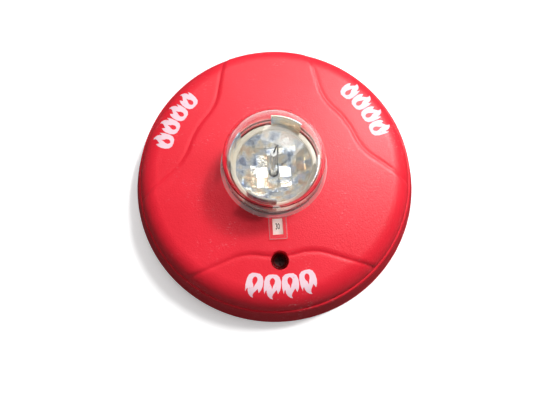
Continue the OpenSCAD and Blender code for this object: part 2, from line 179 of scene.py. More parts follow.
def noise(nodes, links, coords, scale, detail=4, rough=0.6):
    """Noise value, about 0.5 on average."""
    node = add(nodes, "ShaderNodeTexNoise", Scale=scale, Detail=detail, Roughness=rough)
    links.new(coords, node.inputs["Vector"])
    return node.outputs["Fac"]


def spread(nodes, links, value, low, high, to_low, to_high):
    """The value with low to high mapped to to_low to to_high."""
    node = add(nodes, "ShaderNodeMapRange")
    for i, v in ((1, low), (2, high), (3, to_low), (4, to_high)):
        node.inputs[i].default_value = v
    links.new(value, node.inputs[0])
    return node.outputs[0]


def tint(nodes, links, value, stops):
    """Colour ramp of (position, colour) stops."""
    node = nodes.new("ShaderNodeValToRGB")
    ramp = node.color_ramp
    while len(ramp.elements) < len(stops):
        ramp.elements.new(0.5)
    for element, (at, color) in zip(ramp.elements, stops):
        element.position = at
        element.color = (*color, 1)
    links.new(value, node.inputs[0])
    return node.outputs[0]


def new_surface(name):
    """A new material with its nodes, links, surface shader and object coordinates."""
    material = bpy.data.materials.new(name)
    nodes, links, bsdf = node_tree(material)
    return material, nodes, links, bsdf, nodes.new("ShaderNodeTexCoord").outputs["Object"]


def emboss(nodes, links, bsdf, height, strength, depth):
    """Bump of a surface from a height."""
    bump = add(nodes, "ShaderNodeBump", Strength=strength, Distance=depth)
    links.new(height, bump.inputs["Height"])
    links.new(bump.outputs[0], bsdf.inputs["Normal"])


def finish(name, color, dark, rough, metallic=0.0, grain=2200, depth=0.00002, mottle=60, spec=0.5, **extra):
    """Procedural surface: a mottled colour, a roughness that varies, and a fine grain as bump."""
    material, nodes, links, bsdf, coords = new_surface(name)
    broad = noise(nodes, links, coords, mottle)
    links.new(tint(nodes, links, broad, [(0.3, dark), (0.7, color)]), bsdf.inputs["Base Color"])
    links.new(spread(nodes, links, broad, 0.3, 0.7, rough[1], rough[0]), bsdf.inputs["Roughness"])
    bsdf.inputs["Metallic"].default_value = metallic
    bsdf.inputs["Specular IOR Level"].default_value = spec
    for key, value in extra.items():
        bsdf.inputs[key].default_value = value
    emboss(nodes, links, bsdf, noise(nodes, links, coords, grain, 2), 0.6, depth)
    return material


def brushed(name, color, dark, rough):
    """Metal with fine lines along X."""
    material, nodes, links, bsdf, coords = new_surface(name)
    mapping = add(nodes, "ShaderNodeMapping", Scale=(1, 25, 25))
    links.new(coords, mapping.inputs["Vector"])
    lines = noise(nodes, links, mapping.outputs[0], 260, 3)
    broad = noise(nodes, links, coords, 120)
    links.new(tint(nodes, links, broad, [(0.3, dark), (0.7, color)]), bsdf.inputs["Base Color"])
    links.new(spread(nodes, links, lines, 0.3, 0.7, *rough), bsdf.inputs["Roughness"])
    bsdf.inputs["Metallic"].default_value = 1
    emboss(nodes, links, bsdf, lines, 0.3, 0.00002)
    return material


def skirt_painted_shade(nodes, links, coords, base):
    """Painted shade: the skirt below the ledge is made a little darker, standing in for the shade on its
    down-facing side.
    """
    axes = nodes.new("ShaderNodeSeparateXYZ")
    links.new(coords, axes.inputs[0])
    shade = add(nodes, "ShaderNodeMix", data_type="RGBA", blend_type="MULTIPLY")
    # painted shade: the skirt's colour is multiplied by 0.88
    shade.inputs[7].default_value = (0.88, 0.88, 0.88, 1)
    top, full = LEDGE_Z * MM, (LEDGE_Z - 0.6) * MM
    links.new(spread(nodes, links, axes.outputs[2], top, full, 0, 1), shade.inputs[0])
    links.new(base, shade.inputs[6])
    return shade.outputs[2]


def reach(nodes, links, coords):
    """Distance from the housing's axis, in metres."""
    flat = add(nodes, "ShaderNodeVectorMath", operation="MULTIPLY")
    links.new(coords, flat.inputs[0])
    flat.inputs[1].default_value = (1, 1, 0)
    length = add(nodes, "ShaderNodeVectorMath", operation="LENGTH")
    links.new(flat.outputs[0], length.inputs[0])
    return length.outputs["Value"]


def red_plastic():
    """Moulded red plastic: matte grain, faint flow variation, pale scuffs, most on the shoulder and skirt,
    and painted shade on the skirt.
    """
    shoulder, worn_from = 68 * MM, 76 * MM
    material, nodes, links, bsdf, coords = new_surface("red_plastic")
    broad = noise(nodes, links, coords, 35, 3)
    base = tint(nodes, links, broad, [(0.3, (0.86, 0.017, 0.036)), (0.7, (0.92, 0.022, 0.045))])
    scuff_map = add(nodes, "ShaderNodeMapping", Scale=(1, 2.6, 1), Rotation=(0.2, 0.4, 0.7))
    links.new(coords, scuff_map.inputs["Vector"])
    fine = noise(nodes, links, scuff_map.outputs[0], 420, 5, 0.75)
    patch = noise(nodes, links, coords, 48, 2)
    where = add(nodes, "ShaderNodeMath", operation="MULTIPLY")
    links.new(spread(nodes, links, fine, 0.57, 0.68, 0, 1), where.inputs[0])
    worn = add(nodes, "ShaderNodeMath", operation="MULTIPLY")
    links.new(spread(nodes, links, patch, 0.54, 0.64, 0, 1), worn.inputs[0])
    axis_distance = reach(nodes, links, coords)
    links.new(spread(nodes, links, axis_distance, shoulder, worn_from, 0.35, 1), worn.inputs[1])
    links.new(worn.outputs[0], where.inputs[1])
    mix = add(nodes, "ShaderNodeMix", data_type="RGBA")
    links.new(where.outputs[0], mix.inputs[0])
    # the base colour, with painted shade on the skirt below the ledge
    links.new(skirt_painted_shade(nodes, links, coords, base), mix.inputs[6])
    mix.inputs[7].default_value = (0.95, 0.4, 0.42, 1)
    links.new(mix.outputs[2], bsdf.inputs["Base Color"])
    grain = noise(nodes, links, coords, 1100, 3, 0.7)
    links.new(spread(nodes, links, grain, 0.3, 0.7, 0.36, 0.48), bsdf.inputs["Roughness"])
    bsdf.inputs["Specular IOR Level"].default_value = 0.5
    emboss(nodes, links, bsdf, grain, 0.9, 0.00016)
    return material


def marking_paint():
    """White pad print, a little worn, so that the red shows through in nicks."""
    material, nodes, links, bsdf, coords = new_surface("marking_paint")
    wear = noise(nodes, links, coords, 700, 4, 0.7)
    stops = [(0.0, (0.92, 0.66, 0.74)), (0.62, (0.95, 0.69, 0.77)), (0.72, (0.92, 0.25, 0.3))]
    links.new(tint(nodes, links, wear, stops), bsdf.inputs["Base Color"])
    grain = noise(nodes, links, coords, 1500, 2)
    links.new(spread(nodes, links, grain, 0.3, 0.7, 0.4, 0.55), bsdf.inputs["Roughness"])
    emboss(nodes, links, bsdf, grain, 0.5, 0.00002)
    return material


def clear_glass(name, color, ior, rough=0.02, entry=1.0, milk=0.0):
    """Clear plastic or glass, of which the share milk scatters.

    Rays from lamps pass it, so that what is behind it is lit. An entry below 1 dims those that come in
    through the dome, because a real dome bends them aside.
    """
    wall, dome_middle = 0.96, (0, 0, 0.03)
    material, nodes, links, bsdf, coords = new_surface(name)
    haze = noise(nodes, links, coords, 90, 3)
    links.new(spread(nodes, links, haze, 0.35, 0.7, rough * 0.5, rough * 1.6), bsdf.inputs["Roughness"])
    bsdf.inputs["Base Color"].default_value = (*color, 1)
    bsdf.inputs["Transmission Weight"].default_value = 1 - milk
    bsdf.inputs["IOR"].default_value = ior
    emboss(nodes, links, bsdf, noise(nodes, links, coords, 45, 1), 0.08, 0.0002)
    clear = nodes.new("ShaderNodeBsdfTransparent")
    if entry < 1:
        place = nodes.new("ShaderNodeNewGeometry")
        middle = add(nodes, "ShaderNodeVectorMath", operation="SUBTRACT")
        links.new(coords, middle.inputs[0])
        middle.inputs[1].default_value = dome_middle
        inward = add(nodes, "ShaderNodeVectorMath", operation="DOT_PRODUCT")
        links.new(middle.outputs[0], inward.inputs[0])
        links.new(place.outputs["Normal"], inward.inputs[1])
        entering = add(nodes, "ShaderNodeMath", operation="GREATER_THAN")
        links.new(inward.outputs["Value"], entering.inputs[0])
        entering.inputs[1].default_value = 0
        stops = [(0, (wall,) * 3), (1, (entry,) * 3)]
        links.new(tint(nodes, links, entering.outputs[0], stops), clear.inputs[0])
    else:
        clear.inputs[0].default_value = (*[wall * c for c in color], 1)
    mix = nodes.new("ShaderNodeMixShader")
    path = nodes.new("ShaderNodeLightPath")
    links.new(path.outputs["Is Shadow Ray"], mix.inputs[0])
    links.new(bsdf.outputs[0], mix.inputs[1])
    links.new(clear.outputs[0], mix.inputs[2])
    links.new(mix.outputs[0], nodes["Material Output"].inputs["Surface"])
    return material


def metallised():
    """Aluminised plastic: bright, a little hazy, with faint blue, cream and straw patches that are painted
    reflections of the surroundings.
    """
    material, nodes, links, bsdf, coords = new_surface("metallised")
    patch = noise(nodes, links, coords, 140, 2, 0.5)
    # painted reflections: these patch colours stand in for the surroundings seen in the mirror
    stops = [(0.32, (0.4, 0.47, 0.6)), (0.42, (0.76, 0.82, 0.9))]
    stops += [(0.55, (0.92, 0.88, 0.76)), (0.66, (0.9, 0.72, 0.55))]
    links.new(tint(nodes, links, patch, stops), bsdf.inputs["Base Color"])
    haze = noise(nodes, links, coords, 260, 3)
    links.new(spread(nodes, links, haze, 0.3, 0.7, 0.04, 0.16), bsdf.inputs["Roughness"])
    bsdf.inputs["Metallic"].default_value = 0.85
    emboss(nodes, links, bsdf, noise(nodes, links, coords, 380, 3), 0.6, 0.0003)
    return material


# Painted light: the label lies deep in its window, in shade, so it is given a faint glow that stands in for
# the light it misses.
LABEL_PAINTED_GLOW = {"Emission Color": (0.95, 0.92, 0.83, 1), "Emission Strength": 0.28}
M = {
    "red": red_plastic(),
    "paint": marking_paint(),
    "lens": clear_glass("clear_lens", (0.99, 0.985, 0.98), 1.5, 0.02, 0.6),
    # painted light: the frosted lens is tinted pink and kept pale, standing in for the red face showing
    # through the flange in the dome's shadow
    "frosted": clear_glass("frosted_lens", (0.98, 0.88, 0.87), 1.5, 0.22, 1.0, 0.3),
    "tube": clear_glass("tube_glass", (0.98, 0.97, 0.93), 1.45, 0.05, 1.0, 0.12),
    "mirror": metallised(),
    "rim": finish("rim_cream", (0.66, 0.61, 0.5), (0.56, 0.51, 0.41), (0.32, 0.42), mottle=130),
    "cream": finish("cream_plastic", (0.9, 0.87, 0.76), (0.84, 0.81, 0.7), (0.42, 0.5), spec=0.4),
    # the label's faint glow is painted light
    "label": finish(
        "label_cream", (0.95, 0.93, 0.85), (0.9, 0.88, 0.79), (0.5, 0.6), grain=3000, **LABEL_PAINTED_GLOW
    ),
    "ink": finish("label_ink", (0.03, 0.03, 0.035), (0.015, 0.015, 0.02), (0.5, 0.65), grain=3000),
    "plate": finish("plate_plastic", (0.78, 0.76, 0.7), (0.7, 0.68, 0.62), (0.42, 0.55)),
    "black": finish(
        "black_plastic", (0.035, 0.035, 0.038), (0.022, 0.022, 0.024), (0.45, 0.6), grain=1300, depth=0.00004
    ),
    "grey": finish("grey_plastic", (0.5, 0.5, 0.5), (0.42, 0.42, 0.42), (0.45, 0.6)),
    "board": finish("board_green", (0.02, 0.14, 0.06), (0.01, 0.08, 0.035), (0.3, 0.45), mottle=150),
    "foam": finish("foam", (0.06, 0.06, 0.06), (0.03, 0.03, 0.03), (0.85, 0.95), grain=900, depth=0.0002),
    "ceramic": finish("ceramic", (0.86, 0.84, 0.78), (0.78, 0.76, 0.7), (0.3, 0.45)),
    "sleeve": finish("blue_sleeve", (0.02, 0.05, 0.2), (0.01, 0.03, 0.13), (0.2, 0.3)),
    "winding": finish(
        "copper_winding", (0.6, 0.24, 0.07), (0.42, 0.15, 0.04), (0.25, 0.4), 0.6, 700, 0.00005
    ),
    "wire": finish("red_wire", (0.55, 0.02, 0.02), (0.42, 0.015, 0.015), (0.3, 0.4)),
    "steel": brushed("zinc_steel", (0.62, 0.62, 0.6), (0.5, 0.5, 0.49), (0.22, 0.38)),
    "dark_steel": brushed("dark_steel", (0.07, 0.07, 0.075), (0.04, 0.04, 0.045), (0.3, 0.45)),
    # painted reflection: the screw's brownish red stands in for the red bore it reflects
    "screw": brushed("screw_steel_painted_red", (0.16, 0.09, 0.09), (0.08, 0.045, 0.045), (0.3, 0.5)),
    "brass": brushed("brass", (0.78, 0.56, 0.24), (0.62, 0.42, 0.16), (0.2, 0.36)),
}

# ---------------------------------------------------------------- mesh helpers


def piece(name, verts, faces, material, body="head", slot=None, smooth=40):
    """A mesh object from points in millimetres, riding on a body."""
    mesh = bpy.data.meshes.new(name)
    mesh.from_pydata([tuple(float(c) * MM for c in v) for v in verts], [], faces)
    return dress(mesh, name, material, body, smooth)


def dress(mesh, name, material, body, smooth=40):
    """An object of a mesh with its material, shading and body."""
    mesh.materials.append(M[material])
    obj = bpy.data.objects.new(name, mesh)
    scene.collection.objects.link(obj)
    shade(obj, smooth)
    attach(obj, body)
    return obj


def shade(obj, angle):
    """Turn the faces outward and shade them smooth, except across edges sharper than angle in degrees."""
    mesh = obj.data
    bm = bmesh.new()
    bm.from_mesh(mesh)
    bmesh.ops.recalc_face_normals(bm, faces=bm.faces)
    for f in bm.faces:
        f.smooth = angle > 0
    for e in bm.edges:
        e.smooth = len(e.link_faces) == 2 and e.calc_face_angle(0) < math.radians(max(angle, 1))
    bm.to_mesh(mesh)
    bm.free()


def lathe(profile, count, closed=True, centre=(0, 0)):
    """Verts and faces of a profile of (radius, height) turned about an upright axis. Radius 0 is a pole."""
    around = [(math.cos(2 * math.pi * i / count), math.sin(2 * math.pi * i / count)) for i in range(count)]
    verts, rings = [], []
    for r, z in profile:
        if r == 0:
            rings.append([len(verts)] * count)
            verts.append((*centre, z))
        else:
            start = len(verts)
            rings.append(list(range(start, start + count)))
            verts += [(centre[0] + r * c, centre[1] + r * s, z) for c, s in around]
    faces = []
    pairs = list(zip(rings, rings[1:])) + ([(rings[-1], rings[0])] if closed else [])
    for a, b in pairs:
        for i in range(count):
            j = (i + 1) % count
            face = [a[i], a[j], b[j], b[i]]
            face = [v for k, v in enumerate(face) if v != face[k - 1]]
            if len(face) > 2:
                faces.append(face)
    return verts, faces


def arc(centre, radius, a0, a1, n):
    """Points on an arc from angle a0 to a1, in n steps."""
    return [
        (centre[0] + radius * math.cos(math.radians(a)), centre[1] + radius * math.sin(math.radians(a)))
        for a in np.linspace(a0, a1, n + 1)
    ]


def block(low, high, edge=0.0):
    """Verts and faces of a box, with its edges bevelled."""
    bm = bmesh.new()
    bmesh.ops.create_cube(bm, size=1)
    for v in bm.verts:
        v.co = Vector([(low[i] + high[i]) / 2 + v.co[i] * (high[i] - low[i]) for i in range(3)])
    if edge:
        bmesh.ops.bevel(bm, geom=bm.edges[:], offset=edge, segments=2, affect="EDGES", profile=0.5)
    return grab(bm)


def grab(bm):
    """Verts and faces of a bmesh, which is freed."""
    bm.verts.index_update()
    verts = [tuple(v.co) for v in bm.verts]
    faces = [[v.index for v in f.verts] for f in bm.faces]
    bm.free()
    return verts, faces


def merge(*parts):
    """Verts and faces of several parts together."""
    verts, faces = [], []
    for v, f in parts:
        base = len(verts)
        verts += list(v)
        faces += [[i + base for i in face] for face in f]
    return verts, faces


def moved(part, offset=(0, 0, 0), turn=0.0):
    """The part turned about the upright axis, then moved."""
    c, s = math.cos(math.radians(turn)), math.sin(math.radians(turn))
    dx, dy, dz = offset
    return [(x * c - y * s + dx, x * s + y * c + dy, z + dz) for x, y, z in part[0]], part[1]


def temp(part):
    """A temporary object of verts and faces, with its faces turned outward."""
    mesh = bpy.data.meshes.new("cutter")
    mesh.from_pydata([tuple(float(c) * MM for c in v) for v in part[0]], [], part[1])
    obj = bpy.data.objects.new("cutter", mesh)
    scene.collection.objects.link(obj)
    bm = bmesh.new()
    bm.from_mesh(mesh)
    bmesh.ops.recalc_face_normals(bm, faces=bm.faces)
    bm.to_mesh(mesh)
    bm.free()
    return obj


def boolean(part, cutter, operation="DIFFERENCE"):
    """The mesh that remains when cutter is taken from part, joined to it or crossed with it."""
    a = temp(part)
    b = temp(cutter)
    mod = a.modifiers.new("cut", "BOOLEAN")
    mod.operation = operation
    mod.object = b
    mod.solver = "EXACT"
    got = bpy.data.meshes.new_from_object(a.evaluated_get(bpy.context.evaluated_depsgraph_get()))
    for o in (a, b):
        bpy.data.objects.remove(o)
    return got


def from_mesh(mesh):
    """Verts in millimetres and faces of a mesh."""
    return [tuple(c / MM for c in v.co) for v in mesh.vertices], [list(p.vertices) for p in mesh.polygons]


# ---------------------------------------------------------------- housing


def field_distance(x, y):
    """Distance to the nearest field's outline, negative inside: an arc, a fillet and a leg on each side."""
    arc_r, fillet, leg, offset = 48.9, 30.0, 20, 36.94
    nx, ny = math.cos(math.radians(leg)), -math.sin(math.radians(leg))
    along = math.sqrt((arc_r + fillet) ** 2 - (offset + fillet) ** 2)
    cx, cy = nx * (offset + fillet) - ny * along, ny * (offset + fillet) + nx * along
    touch = math.degrees(math.atan2(cy, cx))
    best = np.full(np.shape(x), 1e3)
    for turn in FIELDS:
        c, s = math.cos(math.radians(turn)), math.sin(math.radians(turn))
        u, v = x * c + y * s, np.abs(y * c - x * s)
        seen = np.degrees(np.arctan2(v - cy, u - cx)) % 360
        d = np.where(
            seen > 180 + touch, arc_r - np.hypot(u, v),
            np.where(seen > 180 - leg, np.hypot(u - cx, v - cy) - fillet, offset - (u * nx + v * ny)),
        )
        best = np.minimum(best, d)
    return best


def rounded(r, flat, centre, radius):
    """Height of a flat that ends in an arc."""
    curve = centre[1] + np.sqrt(np.maximum(radius**2 - (r - centre[0]) ** 2, 0))
    return np.where(r < centre[0], flat, curve)


def arm_height(r):
    """Height of the face between the fields."""
    return rounded(r, FACE_Z - np.maximum(r - CROWN_R, 0) / CROWN_RUN, ARM_C, ARM_R)


def field_height(r):
    """Height of a sunk field."""
    return rounded(r, FIELD_Z - (r - FIELD_IN) / FIELD_RUN, FIELD_C, FIELD_R)


def profile_point(t, centre, radius, end, height):
    """Point and outward normal at t along a shoulder that starts at FLAT_END and ends at the ledge."""
    straight = centre[0] - FLAT_END
    bend = math.radians(90 - end) * radius
    s = t * (straight + bend)
    angle = np.where(s < straight, math.pi / 2, math.pi / 2 - (s - straight) / radius)
    r = np.where(s < straight, FLAT_END + s, centre[0] + radius * np.cos(angle))
    z = np.where(s < straight, height(r), centre[1] + radius * np.sin(angle))
    return r, z, np.cos(angle), np.sin(angle)


def blend(d):
    """Share of the arm and depth of the groove at a distance from a field's outline."""
    w = np.clip(d / (2 * STEP_W) + 0.5, 0, 1)
    width = np.where(d > GROOVE_AT, GROOVE_W, GROOVE_RETURN_W)
    return w * w * (3 - 2 * w), GROOVE_DEPTH * np.exp(-(((d - GROOVE_AT) / width) ** 2))


def housing_shell():
    """The housing as rings of points: outer face and shoulder, ledge, skirt, rim, inner wall and ceiling."""
    count = 1080
    theta = np.radians(np.arange(count) * 360 / count)[None, :]
    flat_r = np.concatenate([np.linspace(SEAT_R, 46, 12)[:-1], np.arange(46, 61.9, 0.5), [FLAT_END]])[:, None]
    x, y = flat_r * np.cos(theta), flat_r * np.sin(theta)
    t = np.linspace(0, 1, 44)[1:, None] + 0 * theta
    r_arm, z_arm, nr, nz = profile_point(t, ARM_C, ARM_R, ARM_END, arm_height)
    r_fld, z_fld, _, _ = profile_point(t, FIELD_C, FIELD_R, FIELD_END, field_height)
    d = field_distance(r_arm * np.cos(theta), r_arm * np.sin(theta))
    w, dip = blend(field_distance(x, y))
    r0 = flat_r + 0 * theta
    outer = [(r0, w * arm_height(r0) + (1 - w) * field_height(r0) - dip)]
    w, dip = blend(d)
    dip = dip * np.clip((1 - t) / 0.05, 0, 1)  # the groove ends just above the ledge
    outer.append((w * r_arm + (1 - w) * r_fld - dip * nr, w * z_arm + (1 - w) * z_fld - dip * nz))
    lip, droop = 0.55, 0.14  # rounding of the ledge's edge, and how far the ledge falls to it
    tail = arc((LEDGE_R - lip, LEDGE_Z - droop - lip), lip, 78, 24, 5)
    tail += [(LEDGE_R + (BASE_R - LEDGE_R) * k, LEDGE_Z * (1 - k)) for k in np.linspace(0.06, 0.97, 9)]
    tail += [(BASE_R - 0.05, 0.3), (BASE_R - 0.4, 0.0), (84.3, 0.0), (83.86, 0.4), (82.2, 3.7), (80.6, 7.2)]
    tail += [(79.17, 10.4), (76.2, 12.0)] + arc((66.2, 12), 10, 10, 90, 8)
    tail += [(55, CEILING_Z), (42, CEILING_Z), (SEAT_R, CEILING_Z)]
    ring = np.ones_like(theta)
    outer += [(r * ring, z * ring) for r, z in tail]
    rr = np.concatenate([a for a, _ in outer])
    zz = np.concatenate([b for _, b in outer])
    lines = rr.shape[0]
    verts = np.stack([rr * np.cos(theta), rr * np.sin(theta), zz], -1).reshape(-1, 3)
    i = np.arange(lines)[:, None] * count
    j = np.arange(count)[None, :]
    k = (np.arange(lines)[:, None] + 1) % lines * count
    faces = np.stack([i + j, k + j, k + (j + 1) % count, i + (j + 1) % count], -1).reshape(-1, 4)
    return verts.tolist(), faces.tolist()


HINGE_Y, HINGE_Z = 83, 2.9
# the window's corners: side, place along Y, and which way it widens
WINDOW = ((-1, -38.4, -1), (1, -38.4, -1), (1, -29.6, 1), (-1, -29.6, 1))


def housing_cutters():
    """The tab's seat, the window, the screw hole, the gap for the hinge and the five sound slots."""
    cut = [block((-5.0, -41.4, 24.3), (5.0, -20, 30))]
    cut.append(window())
    screw_hole = [(0, 20), (4.75, 20), (4.75, 23.6), (5.35, 24.3), (5.6, 25.2), (5.6, 30), (0, 30)]
    cut.append(lathe(screw_hole, 64, False, (0, SCREW_Y)))
    cut.append(block((-24.5, 70, -3), (24.5, 95, 6)))
    sound_slot = block((70, -4, 9.8), (90, 4, 13.0))
    return cut + [moved(sound_slot, turn=a) for a in range(72, 109, 9)]


def window():
    """The label's window: straight below, wider towards the face."""
    sections = ((2.7, 0, 20), (2.7, 0, 22.6), (3.0, 0.3, 24.6))
    verts = [(x * w, y + out * side, z) for w, out, z in sections for x, y, side in WINDOW]
    faces = [(3, 2, 1, 0), (8, 9, 10, 11)]
    faces += [(k + i, k + (i + 1) % 4, k + 4 + (i + 1) % 4, k + 4 + i) for k in (0, 4) for i in range(4)]
    return verts, faces


def hook(x):
    """Hinge hook: an open ring on a short arm, along X."""
    outline = arc((0, 0), 2.7, -60, 215, 22) + arc((0, 0), 1.36, 215, -60, 20)
    n = len(outline)
    verts = [(x + s, HINGE_Y + u, HINGE_Z + v) for s in (-4, 4) for u, v in outline]
    faces = [list(range(n))[::-1], list(range(n, 2 * n))]
    faces += [[i, (i + 1) % n, n + (i + 1) % n, n + i] for i in range(n)]
    return merge((verts, faces), block((x - 4, 79.8, 3.2), (x + 4, 81.6, 8.5), 0.3))


shell = housing_shell()
for cutter in housing_cutters():
    shell = from_mesh(boolean(shell, cutter))
whole = temp(shell)
mesh = whole.data.copy()
bpy.data.objects.remove(whole)
screw_boss = [(7.4, 10.7), (7.4, 22.5), (4.75, 22.5), (4.75, 13.5)]
screw_boss += [(1.7, 13.5), (1.7, 11.5), (4.2, 11.5), (4.2, 10.7)]
cover_boss = [(3.8, 7.2), (3.8, 22.3), (1.2, 22.3), (1.2, 7.2)]
board_boss = [(3, 10.4), (3, 22.3), (1, 22.3), (1, 10.4)]
inside = [lathe(screw_boss, 64, True, (0, SCREW_Y))]
for boss, reach_out, turns in ((cover_boss, 66, (45, 135, 225, 315)), (board_boss, 54, (22, 158, 248))):
    for a in turns:
        at = (reach_out * math.cos(math.radians(a)), reach_out * math.sin(math.radians(a)))
        inside.append(lathe(boss, 32, True, at))
inside += [hook(-9), hook(9)]
extra = temp(merge(*inside))
bm = bmesh.new()
bm.from_mesh(mesh)
bm.from_mesh(extra.data)
bm.to_mesh(mesh)
bm.free()
bpy.data.objects.remove(extra)
housing = dress(mesh, "housing_shell", "red", "head", 32)
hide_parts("housing")

# ---------------------------------------------------------------- markings

FLAMES, FLAME_W, FLAME_H = (-14.4, -4.8, 4.8, 14.4), 9.2, 12.8
# radius of the band's middle, the print's faces above and below the plastic, and the size of its cells
BAND_R, PRINT_TOP, PRINT_BOTTOM, PRINT_CELL = 65.8, 0.07, -0.05, 0.9


def flame(width, height):
    """Outline of a generic flame and of the drop cut out of it, tip up, centred on the origin."""
    outer = [(0.0, -0.5), (0.26, -0.48), (0.43, -0.38), (0.5, -0.2), (0.5, 0.06), (0.44, 0.3), (0.39, 0.18)]
    outer += [(0.33, 0.14), (0.31, 0.26), (0.24, 0.37), (0.12, 0.46), (-0.02, 0.5), (0.02, 0.4), (-0.02, 0.3)]
    outer += [(-0.13, 0.2), (-0.22, 0.12), (-0.3, 0.28), (-0.41, 0.16), (-0.48, 0.0), (-0.5, -0.2)]
    outer += [(-0.43, -0.38), (-0.26, -0.48)]
    drop = [(0.0, -0.36), (0.11, -0.32), (0.17, -0.23), (0.15, -0.12), (0.07, -0.03), (0.03, 0.1)]
    drop += [(-0.04, -0.04), (-0.12, -0.14), (-0.15, -0.24), (-0.1, -0.32)]
    return [[(x * width, y * height) for x, y in loop] for loop in (outer, drop)]


def decal(loops, turn, name):
    """Thin raised print on a field, from outlines in (along the arc, outwards) about the band's middle."""
    bm = bmesh.new()
    edges = []
    for loop in loops:
        vs = [bm.verts.new((x, y, 0)) for x, y in loop]
        edges += [bm.edges.new((vs[i - 1], vs[i])) for i in range(len(vs))]
    bmesh.ops.triangle_fill(bm, edges=edges, use_beauty=True)
    for axis, low, high in ((0, -21, 21), (1, -7, 7)):
        normal = Vector([1.0 if i == axis else 0.0 for i in range(3)])
        for at in np.arange(low, high, PRINT_CELL):
            everything = bm.verts[:] + bm.edges[:] + bm.faces[:]
            bmesh.ops.bisect_plane(bm, geom=everything, plane_co=normal * at, plane_no=normal)
    bmesh.ops.recalc_face_normals(bm, faces=bm.faces)
    if sum(f.normal.z for f in bm.faces) < 0:
        bmesh.ops.reverse_faces(bm, faces=bm.faces)
    back = bmesh.ops.extrude_face_region(bm, geom=bm.faces[:])
    top = {v for v in back["geom"] if isinstance(v, bmesh.types.BMVert)}
    for v in bm.verts:
        r = BAND_R + v.co.y
        a = math.radians(turn) - v.co.x / BAND_R
        lift = PRINT_TOP if v in top else PRINT_BOTTOM
        slope = max(r - FIELD_C[0], 0) / FIELD_R
        n = (slope, math.sqrt(1 - slope * slope))
        z = float(field_height(np.array(r))) + lift * n[1]
        r += lift * n[0]
        v.co = (r * math.cos(a) * MM, r * math.sin(a) * MM, z * MM)
    bmesh.ops.recalc_face_normals(bm, faces=bm.faces)
    mesh = bpy.data.meshes.new(name)
    bm.to_mesh(mesh)
    bm.free()
    return mesh


for turn in FIELDS:
    parts = bmesh.new()
    for at in FLAMES:
        loops = [[(x + at, y) for x, y in loop] for loop in flame(FLAME_W, FLAME_H)]
        parts.from_mesh(decal(loops, turn, "flame"))
    mesh = bpy.data.meshes.new("marking")
    parts.to_mesh(mesh)
    parts.free()
    dress(mesh, f"marking_{turn}", "paint", "head", 30)

# ---------------------------------------------------------------- lens

LENS_R, LENS_TOP, LENS_WALL, DOME_R, DOME_Z, TAB_Y = 27.3, 58.0, 1.6, 26.8, 38.0, -30.5


def lens_profile():
    """The wall below the face, the flange on it, the straight wall and the dome, outside and then inside."""
    inner_r = LENS_R - LENS_WALL
    outer = [(LENS_R, 21.0), (LENS_R, FACE_Z), (29.6, FACE_Z), (29.75, FACE_Z + 0.15), (29.75, FACE_Z + 1.0)]
    outer += [(29.55, FACE_Z + 1.25), (28.2, FACE_Z + 1.5), (27.6, FACE_Z + 1.9), (LENS_R, FACE_Z + 2.6)]
    outer += [(LENS_R - 0.15, 31), (LENS_R - 0.32, 34.5)]
    rise = LENS_TOP - DOME_Z
    up = [math.radians(a) for a in range(0, 90, 3)]
    dome = [(DOME_R * math.cos(a), DOME_Z + rise * math.sin(a)) for a in up]
    inside = [((DOME_R - LENS_WALL) * math.cos(a), DOME_Z + (rise - LENS_WALL) * math.sin(a)) for a in up]
    profile = outer + dome + [(0, LENS_TOP), (0, LENS_TOP - LENS_WALL)] + inside[::-1]
    return profile + [(inner_r - 0.32, 34.5), (inner_r - 0.15, 31), (inner_r, 27.6), (inner_r, 21.0)]


tab = block((-4.9, -41.2, 24.4), (4.9, -27.0, 26.0), 0.4)
mesh = boolean(lathe(lens_profile(), 180), tab, "UNION")
lens = dress(mesh, "lens_dome", "lens", "head", 30)
# The flange and the tab's border are frosted, and the tab's faces are flat.
mesh.materials.append(M["frosted"])
for face in mesh.polygons:
    x, y, z = face.center / MM
    flange = math.hypot(x, y) > LENS_R + 0.1 and y > TAB_Y and z > FACE_Z - 0.1
    border = y < TAB_Y and abs(face.normal.z) < 0.95
    face.material_index = int(flange or border)
    face.use_smooth = face.use_smooth and y > TAB_Y
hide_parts("lens")


def receivers(light, name, state):
    """Make a light reach only the dome (INCLUDE), or everything but the dome (EXCLUDE)."""
    group = bpy.data.collections.new(name)
    group.objects.link(lens)
    group.collection_objects[0].light_linking.link_state = state
    light.light_linking.receiver_collection = group


def soften(light):
    """Make an area light fade from its middle to its edge."""
    light.data.shape = "DISK"
    light.data.use_nodes = True
    nodes, links = light.data.node_tree.nodes, light.data.node_tree.links
    away = add(nodes, "ShaderNodeVectorMath", operation="DISTANCE")
    away.inputs[1].default_value = (0.5, 0.5, 0)
    links.new(nodes.new("ShaderNodeNewGeometry").outputs["Parametric"], away.inputs[0])
    fade = add(nodes, "ShaderNodeMapRange", interpolation_type="SMOOTHSTEP")
    for i, value in ((1, 0.0), (2, 0.5), (3, 1.0), (4, 0.0)):
        fade.inputs[i].default_value = value
    links.new(away.outputs["Value"], fade.inputs["Value"])
    links.new(fade.outputs["Result"], nodes["Emission"].inputs["Strength"])


softbox = area_light("softbox", (0.34, 0.39, 0.87), 1.0, (0.75, 0.75), 6.4, (0.82, 0.92, 1))
soften(softbox)
receivers(softbox, "dome_only", "INCLUDE")
receivers(key, "not_dome", "EXCLUDE")

# ---------------------------------------------------------------- reflector

BOWL_R, BOWL_Z, RIM_R, RIM_Z, WING_R, WING_Z = 22.0, 12.4, 25.1, 24.9, 24.6, 38.0
